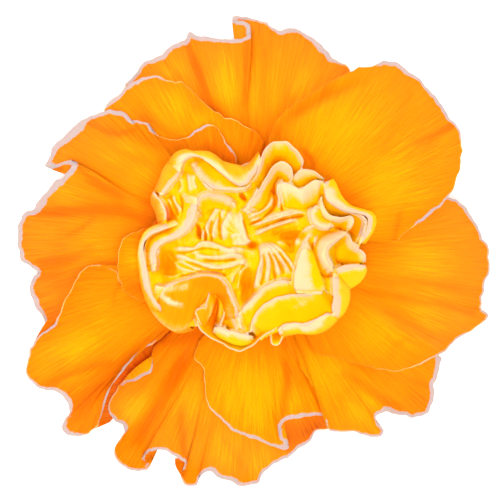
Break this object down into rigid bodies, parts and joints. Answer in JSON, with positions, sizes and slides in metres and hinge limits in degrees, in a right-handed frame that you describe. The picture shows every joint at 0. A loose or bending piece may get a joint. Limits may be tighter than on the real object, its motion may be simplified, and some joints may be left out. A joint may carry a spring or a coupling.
{
  "type": "carnation flower head",
  "caption": "Open double carnation, picked, with orange guard petals round a folded yellow heart, standing on its cut stub and lowest petals.",
  "frame": {"origin": "centre of the stem's flat cut end, at the flower's base", "axes": "+Z along the flower's axis towards its face, +Y towards the top petal, +X towards the right petal, as seen from above"},
  "size_m": [0.0851, 0.0846, 0.0452],
  "materials": {
    "guard_petal": "velvety orange with a pale cut edge",
    "inner_petal": "velvety yellow to cream with pale edges",
    "green": "waxy, fine-ribbed green",
    "pale_green": "waxy pale green"
  },
  "bodies": {
    "root": {"stem": "green", "calyx": "green", "bracts": "pale_green", "pistil": "pale_green", "petal_top": "guard_petal", "petal_bottom_left": "guard_petal", "petal_upper_left": "guard_petal", "petal_bottom": "guard_petal", "petal_left": "guard_petal", "petal_bottom_right": "guard_petal", "petal_lower_left": "guard_petal", "petal_right": "guard_petal", "petal_top_right": "guard_petal", "petal_inner_left": "guard_petal", "inner_petals": "inner_petal"}
  },
  "joints": []
}
